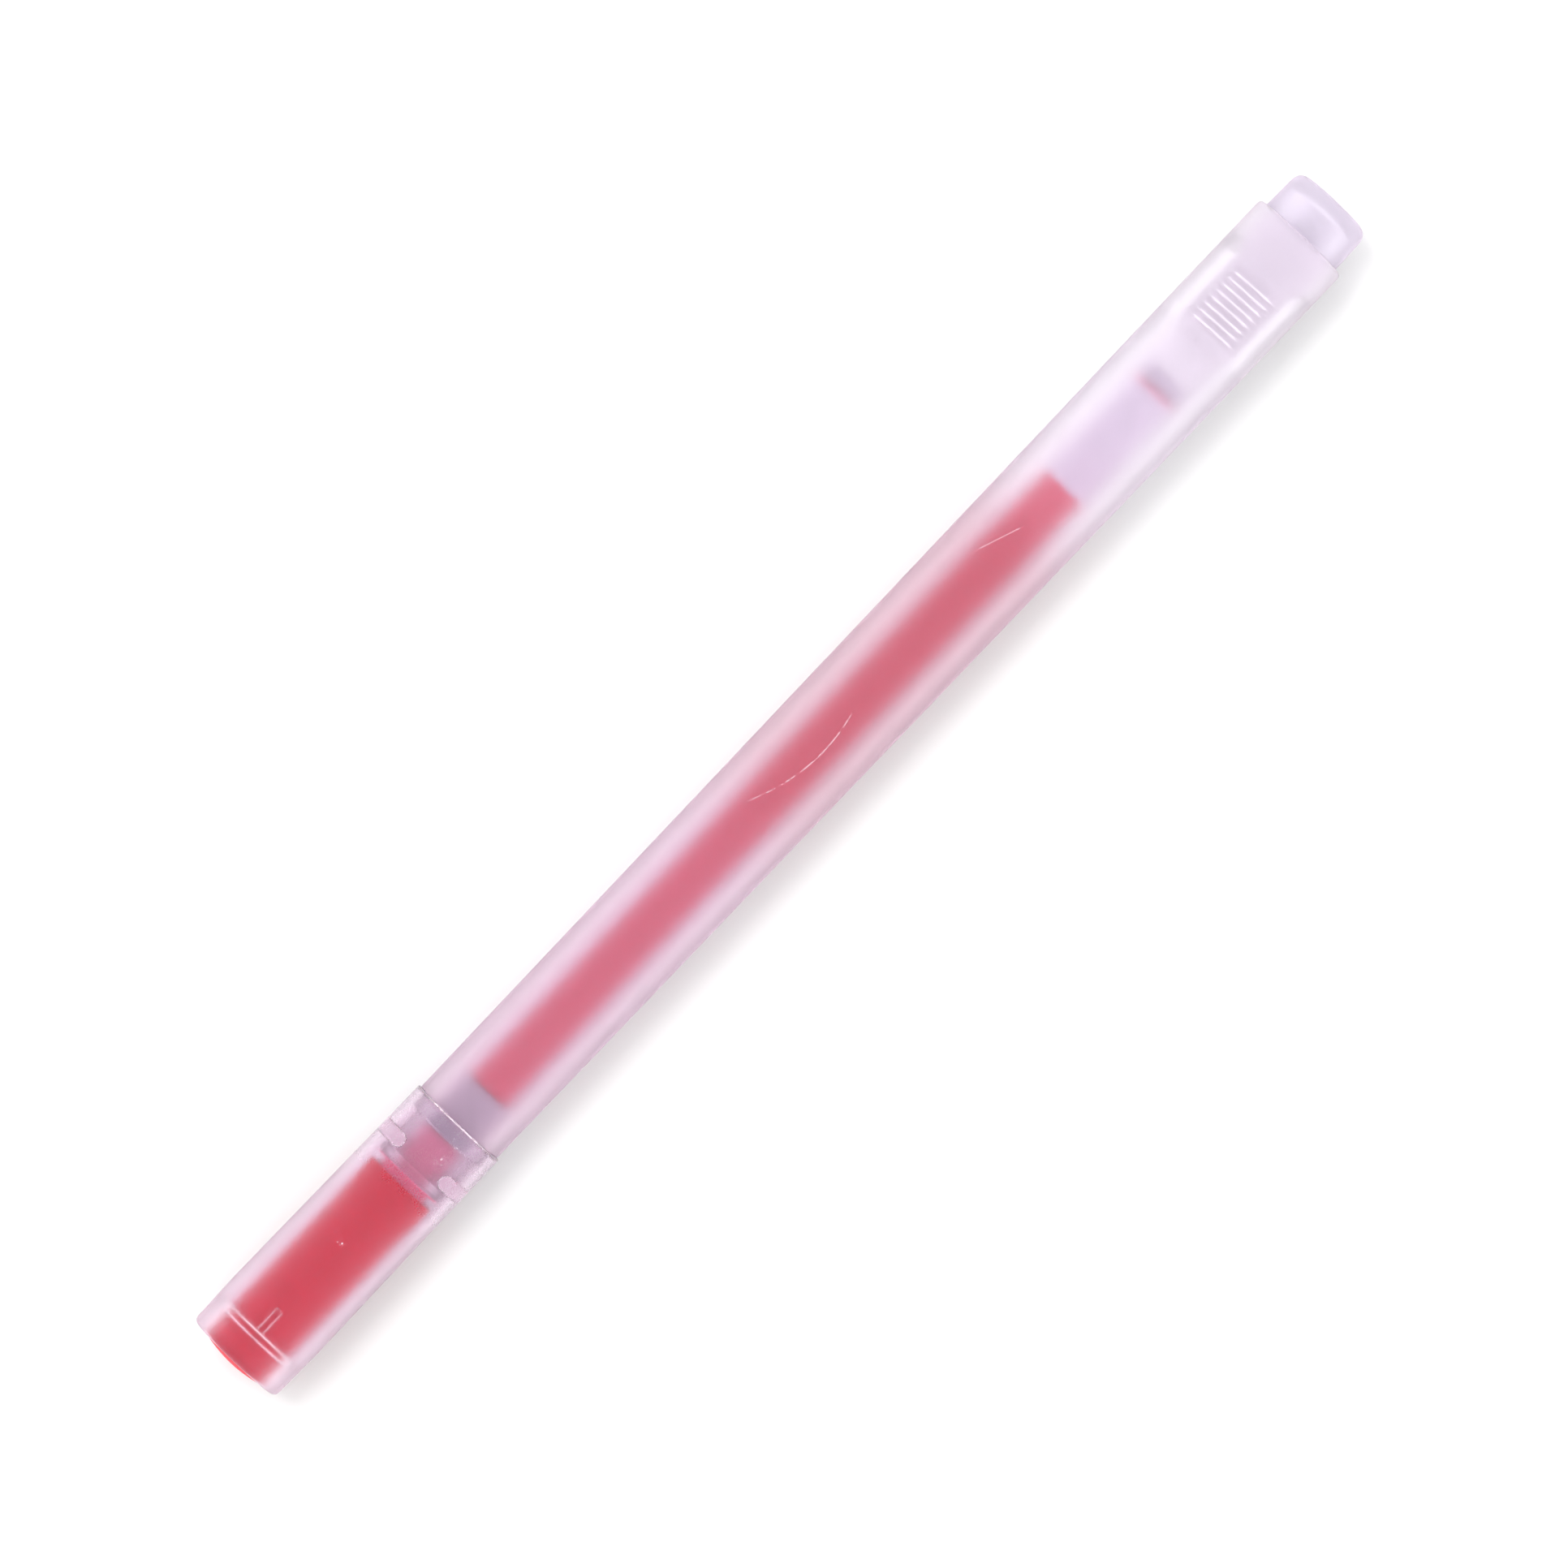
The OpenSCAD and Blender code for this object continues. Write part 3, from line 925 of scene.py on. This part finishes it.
plug_outline = rounded([
    (nose_start, hollow_nose_r, 0, INSIDE),
    (nose_start, 1.98, 0.05, OUTSIDE),
    (nose_start + 0.3, nose_r, 0.1, OUTSIDE),
    (124.1, nose_r, 0.2, OUTSIDE),
    (124.7, thread_root_r, 0.1, OUTSIDE),
    (thread_end + 0.05, thread_root_r, 0.1, OUTSIDE),
    (cone_end, plug_seat_r, 0.1, OUTSIDE),
    (barrel_end + 0.02, plug_seat_r, 0.03, OUTSIDE),
    (barrel_end + 0.02, post_r, 0.06, OUTSIDE),
    (pen_length - 0.12, 4.12, 1.3, OUTSIDE),
    (pen_length, 1.2, 0.5, OUTSIDE),
    (pen_length, 0, 0, OUTSIDE),
], steps=8)
plug_hollow = rounded([
    (hollow_end, 0, 0, INSIDE),
    (hollow_end, hollow_r, 0.2, INSIDE),
    (140.3, 2.49, 0.1, INSIDE),
    (135.325, 2.49, 0.1, INSIDE),
    (134.325, hollow_r, 0.1, INSIDE),
    (thread_start, hollow_r, 0.1, INSIDE),
    (thread_start - 0.6, hollow_nose_r, 0.1, INSIDE),
], steps=4)
plug_outline = subdivided(plug_outline, thread_start - 0.5, thread_end + 0.03, 0.045)
plug_hollow = plug_hollow + [(nose_start, hollow_nose_r, INSIDE)]
# The two skins meet on the ring at the nose's mouth
plug_mesh = joined_skins(
    turned("plug_outer", plug_outline, even_angles(216)),
    turned("plug_inner", plug_hollow, even_angles(216)),
)
plug_mesh = threaded(plug_mesh, thread_start, thread_root_r, thread_height)
crest_foot_r = 3.3
for face in plug_mesh.polygons:
    along, radius = place_of(face)
    # Crest faces take the crest finish, with its painted highlight along the top
    if thread_start - 0.5 < along < thread_end + 0.05 and radius > crest_foot_r:
        face.material_index = RUBBED_AND_HIGHLIT
    if along > barrel_end and face.material_index == OUTSIDE:
        face.material_index = POST
piece("tail_plug_frosted", plug_mesh, "tail_plug", ["tail_plug"],
      [plug_outside, plug_inside, crest_highlight_plastic, post_outside])

# %% [markdown]
# ## The writing end
#
# Under the cap, a nib holder closes the neck. A ferrule in its nose holds the brush,
# a fibre rod feeds ink to it through a collar, and the cup's mouth seals on the holder's
# waist.

# %% Nib holder, ferrule, feed and collar
holder_front, holder_back = span("nib_holder")
ferrule_front, ferrule_back = span("brush_ferrule")
feed_front, feed_back = span("feed_rod")
ferrule_r, feed_r, collar_r = (
    radius_of(node) for node in ("brush_ferrule", "feed_rod", "feed_collar")
)
push_gap = 0.02

holder_outline = rounded([
    (holder_front, ferrule_r + push_gap, 0, 0),
    (holder_front, 1.75, 0.1, 0),
    (17.9, 2.45, 0.3, 0),
    (18.5, 2.8, 0.2, 0),
    (21.4, 2.8, 0.1, 0),
    (21.6, 2.6, 0.1, 0),
    (22.74, 2.6, 0.05, 0),
    (22.74, 3.45, 0.03, 0),
    (22.88, 3.45, 0.03, 0),
    (22.88, 1.95, 0.03, 0),
    (23.9, 1.95, 0.03, 0),
    (24.0, 2.28, 0.05, 0),
    (holder_back - 0.2, 2.28, 0.05, 0),
    (holder_back, 2.08, 0.02, 0),
    (holder_back, feed_r + push_gap, 0, 0),
    (ferrule_back + push_gap, feed_r + push_gap, 0, 0),
    (ferrule_back + push_gap, ferrule_r + push_gap, 0, 0),
], steps=4)
piece("nib_holder_moulded", turned("holder", holder_outline, closed=True), "barrel",
      ["nib_holder"], [holder_plastic])

ferrule_outline = rounded([
    (ferrule_front, 1.12, 0, 0),
    (ferrule_front, 1.3, 0.05, 0),
    (ferrule_front + 0.15, ferrule_r, 0.08, 0),
    (ferrule_back, ferrule_r, 0.03, 0),
    (ferrule_back, 0.93, 0, 0),
    (feed_front, 0.93, 0, 0),
    (feed_front, 1.12, 0, 0),
], steps=4)
piece("ferrule_sleeve", turned("ferrule", ferrule_outline, even_angles(96), closed=True),
      "barrel", ["brush_ferrule"], [ferrule_plastic])

rod_outline = rounded([
    (feed_front, 0, 0, 0),
    (feed_front, feed_r, 0.05, 0),
    (feed_back - 0.6, feed_r, 0.2, 0),
    (feed_back, 0.5, 0.1, 0),
    (feed_back, 0, 0, 0),
], steps=4)
piece("feed_fibre_rod", turned("rod", rod_outline, even_angles(96)), "barrel", ["feed_rod"],
      [feed_fibre])

collar_outline = rounded([
    (collar_front, feed_r + push_gap, 0, 0),
    (collar_front, collar_r, 0.08, 0),
    (collar_back, collar_r, 0.08, 0),
    (collar_back, feed_r + push_gap, 0, 0),
], steps=4)
piece("feed_collar_moulded", turned("collar", collar_outline, closed=True), "barrel",
      ["feed_collar"], [collar_plastic])

# %% [markdown]
# ## The brush
#
# The brush is a bundle of fine tapered filaments, wet with ink, drawn to a point. A few
# hundred repeated filaments are work for Geometry Nodes: points on a sunflower spiral
# fill the round root evenly, one slim cone is instanced on each, and after Realize
# Instances the whole bundle is pinched towards its axis by the same curve as the CAD
# brush. Each filament ends a little short of the point by a random share.

# %% The bristle tree
def bristle_tree():
    nodes = bpy.data.node_groups.new("brush_bundle", "GeometryNodeTree")
    tree = Tree(nodes)
    nodes.interface.new_socket("Start", in_out="INPUT", socket_type="NodeSocketGeometry")
    nodes.interface.new_socket("Brush", in_out="OUTPUT", socket_type="NodeSocketGeometry")
    names = {
        name: group_input(tree, name, value)
        for name, value in (
            ("Count", 260.0), ("Root X", 0.0), ("Length", 0.012), ("Free Length", 0.008),
            ("Root Radius", 0.001), ("Filament Radius", 0.00005), ("Axis Height", 0.005),
        )
    }
    finish = nodes.interface.new_socket(
        "Finish", in_out="INPUT", socket_type="NodeSocketMaterial"
    )
    names["Finish"] = finish.identifier
    given = nodes.nodes.new("NodeGroupInput")
    read = {name: Value(tree, given.outputs[name]) for name in names}
    index = tree.node("GeometryNodeInputIndex")
    # The golden angle keeps neighbours on the spiral apart
    angle = index * 2.39996
    out = ((index + 0.5) / read["Count"]) ** 0.5 * (read["Root Radius"] - read["Filament Radius"])
    sine = tree.node("ShaderNodeMath", {"operation": "SINE"}, {0: angle})
    cosine = tree.node("ShaderNodeMath", {"operation": "COSINE"}, {0: angle})
    spot = tree.node(
        "ShaderNodeCombineXYZ", None, {"X": read["Root X"], "Y": out * sine, "Z": out * cosine}
    )
    points = tree.node("GeometryNodePoints", None, {"Count": read["Count"], "Position": spot})
    # A slim cone along Z, then laid along -X by the instances' rotation
    cone = tree.node(
        "GeometryNodeMeshCone", {"fill_type": "NGON"},
        {
            "Vertices": 6,
            "Side Segments": 14,
            "Fill Segments": 1,
            "Radius Top": read["Filament Radius"] * 0.6,
            "Radius Bottom": read["Filament Radius"],
            "Depth": read["Length"],
        },
    )
    short = tree.node(
        "FunctionNodeRandomValue", {"data_type": "FLOAT"},
        {2: 0.86, 3: 1.0, "ID": index, "Seed": 5}, output=1,
    )
    size = tree.node("ShaderNodeCombineXYZ", None, {"X": 1.0, "Y": 1.0, "Z": short})
    spread = tree.node(
        "GeometryNodeInstanceOnPoints", None,
        {"Points": points, "Instance": cone, "Rotation": (0.0, -math.pi / 2, 0.0), "Scale": size},
    )
    solid = tree.node("GeometryNodeRealizeInstances", None, {"Geometry": spread})
    place = tree.node("GeometryNodeInputPosition")
    x = tree.node("ShaderNodeSeparateXYZ", None, {0: place}, "X")
    y = tree.node("ShaderNodeSeparateXYZ", None, {0: place}, "Y")
    z = tree.node("ShaderNodeSeparateXYZ", None, {0: place}, "Z")
    held = read["Length"] - read["Free Length"]
    from_point = 1 - (read["Root X"] - x - held) / read["Free Length"]
    belly = tree.node(
        "ShaderNodeMath", {"operation": "SINE"}, {0: (from_point * 1.25).clipped() * (math.pi / 2)}
    )
    pinch = (belly * 0.97 + 0.03).most(0.03)
    pinched = tree.node(
        "ShaderNodeCombineXYZ", None,
        {"X": x, "Y": y * pinch, "Z": z * pinch + read["Axis Height"]},
    )
    bent = tree.node("GeometryNodeSetPosition", None, {"Geometry": solid, "Position": pinched})
    painted = tree.node(
        "GeometryNodeSetMaterial", None, {"Geometry": bent, "Material": read["Finish"]}
    )
    end = nodes.nodes.new("NodeGroupOutput")
    nodes.links.new(painted.socket, end.inputs["Brush"])
    return nodes, names


# %% Grow the brush
bristle_nodes, bristle_inputs = bristle_tree()
brush_point, brush_root = span("brush_tip")
brush_mesh = grown(bpy.data.meshes.new("brush"), bristle_nodes, bristle_inputs, {
    "Count": 260.0,
    "Root X": apex_x + brush_root * MM,
    "Length": (brush_root - brush_point) * MM,
    "Free Length": (ferrule_front - brush_point) * MM,
    "Root Radius": 1.08 * MM,
    "Filament Radius": 0.055 * MM,
    "Axis Height": axis_z,
    "Finish": bristle_fibre,
})
piece("brush_filaments", facing_out(brush_mesh), "barrel", ["brush_tip"],
      [bristle_fibre])

# %% [markdown]
# ## The refill
#
# The refill is a rod of bonded fibre in a thin clear film. The film is a little longer
# than the rod, and the plug's nose sits in its open end.

# %% Core and film
refill_start, core_end = span("ink_reservoir")
core_r = radius_of("ink_reservoir")
feed_hole_r, feed_hole_end = feed_r + 0.05, feed_back + 0.1
film_end = span("reservoir_film")[1]
film_r = 2.4

core_outline = rounded([
    (refill_start, feed_hole_r, 0, 0),
    (refill_start, core_r, 0.2, 0),
    (core_end, core_r, 0.4, 0),
    (core_end, 0, 0, 0),
], steps=5)
feed_hole = [
    (refill_start, feed_hole_r, 0),
    (feed_hole_end, feed_hole_r, 0),
    (feed_hole_end, 0, 0),
]
core_mesh = joined_skins(
    turned("core", core_outline, even_angles(144)),
    turned("core_socket", feed_hole, even_angles(144)),
)
piece("ink_core_fibre", core_mesh, "refill", ["ink_reservoir"], [core_fibre])

film_outline = [
    (refill_start, core_r + 0.01, 0),
    (refill_start, film_r, 0),
    (film_end, film_r, 0),
    (film_end, core_r + 0.01, 0),
]
piece("refill_film", turned("film", film_outline, even_angles(144), closed=True), "refill",
      ["reservoir_film"], [film_plastic])

# %% [markdown]
# ## Table, light and camera
#
# The pen lies in a light tent: white from everywhere, with one large soft light on its far
# side that lays a faint shadow towards the viewer's lower right. That light falls on the
# paper only, so it makes a shadow and no hard gloss on the pen. The tent is the world
# itself, because light that has to bend through four frosted faces finds a whole bright
# sky far more easily than a lamp. The camera looks straight down from far away through
# a long lens, so the pen's two ends are the same size.

# %% Floor
floor_mesh = bpy.data.meshes.new("floor")
reach = 4.0
floor_mesh.from_pydata(
    [(-reach, -reach, 0), (reach, -reach, 0), (reach, reach, 0), (-reach, reach, 0)],
    [], [(0, 1, 2, 3)],
)
floor = bpy.data.objects.new("floor", floor_mesh)
bpy.context.scene.collection.objects.link(floor)
paper = Finish("white_paper")
floor_mesh.materials.append(paper.surface(
    Base_Color=paper.blend(paper.noise(0.02, 2.0), (215, 215, 215), (213, 213, 213)),
    Roughness=0.9,
))

# %% Tent and key light
world = bpy.data.worlds.new("tent")
bpy.context.scene.world = world
world.use_nodes = True
tent = Tree(world.node_tree)
towards = tent.node("ShaderNodeTexCoord", output="Generated")
up = tent.node("ShaderNodeSeparateXYZ", None, {0: towards}, "Z").clipped()
level = 2.25 - up
shade = tent.node("ShaderNodeCombineColor", None, {0: level, 1: level, 2: level})
background = world.node_tree.nodes["Background"]
world.node_tree.links.new(shade.socket, background.inputs["Color"])
background.inputs["Strength"].default_value = 1.0
lamp = bpy.data.lights.new("softbox", "AREA")
lamp.shape = "DISK"
lamp.size = 0.56
distance = 1.2
climb = math.radians(65)
lamp.energy = 4.9 * distance ** 2
softbox = bpy.data.objects.new("softbox", lamp)
softbox.location = (0, distance * math.cos(climb), distance * math.sin(climb))
softbox.rotation_euler = (-(math.pi / 2 - climb), 0, 0)
bpy.context.scene.collection.objects.link(softbox)
on_paper = bpy.data.collections.new("lit_by_softbox")
on_paper.objects.link(floor)
softbox.light_linking.receiver_collection = on_paper

# %% Camera
lens = bpy.data.cameras.new("copy_stand")
lens.sensor_width = 36
height = 1.2
seen_width = 0.13895
lens.lens = lens.sensor_width * height / seen_width
lens.clip_end = 20
camera = bpy.data.objects.new("copy_stand", lens)
pen_turn = math.radians(-46.43)
camera.location = (-0.04 * MM, -0.2 * MM, axis_z + height)
camera.rotation_euler = (0, 0, pen_turn)
bpy.context.scene.collection.objects.link(camera)
bpy.context.scene.camera = camera
bpy.context.scene.view_settings.view_transform = "Standard"
cycles = bpy.context.scene.cycles
cycles.max_bounces = 24
cycles.transmission_bounces = 24
cycles.glossy_bounces = 8
cycles.diffuse_bounces = 6
print(f"lens: {lens.lens:.0f} mm at {height} m")
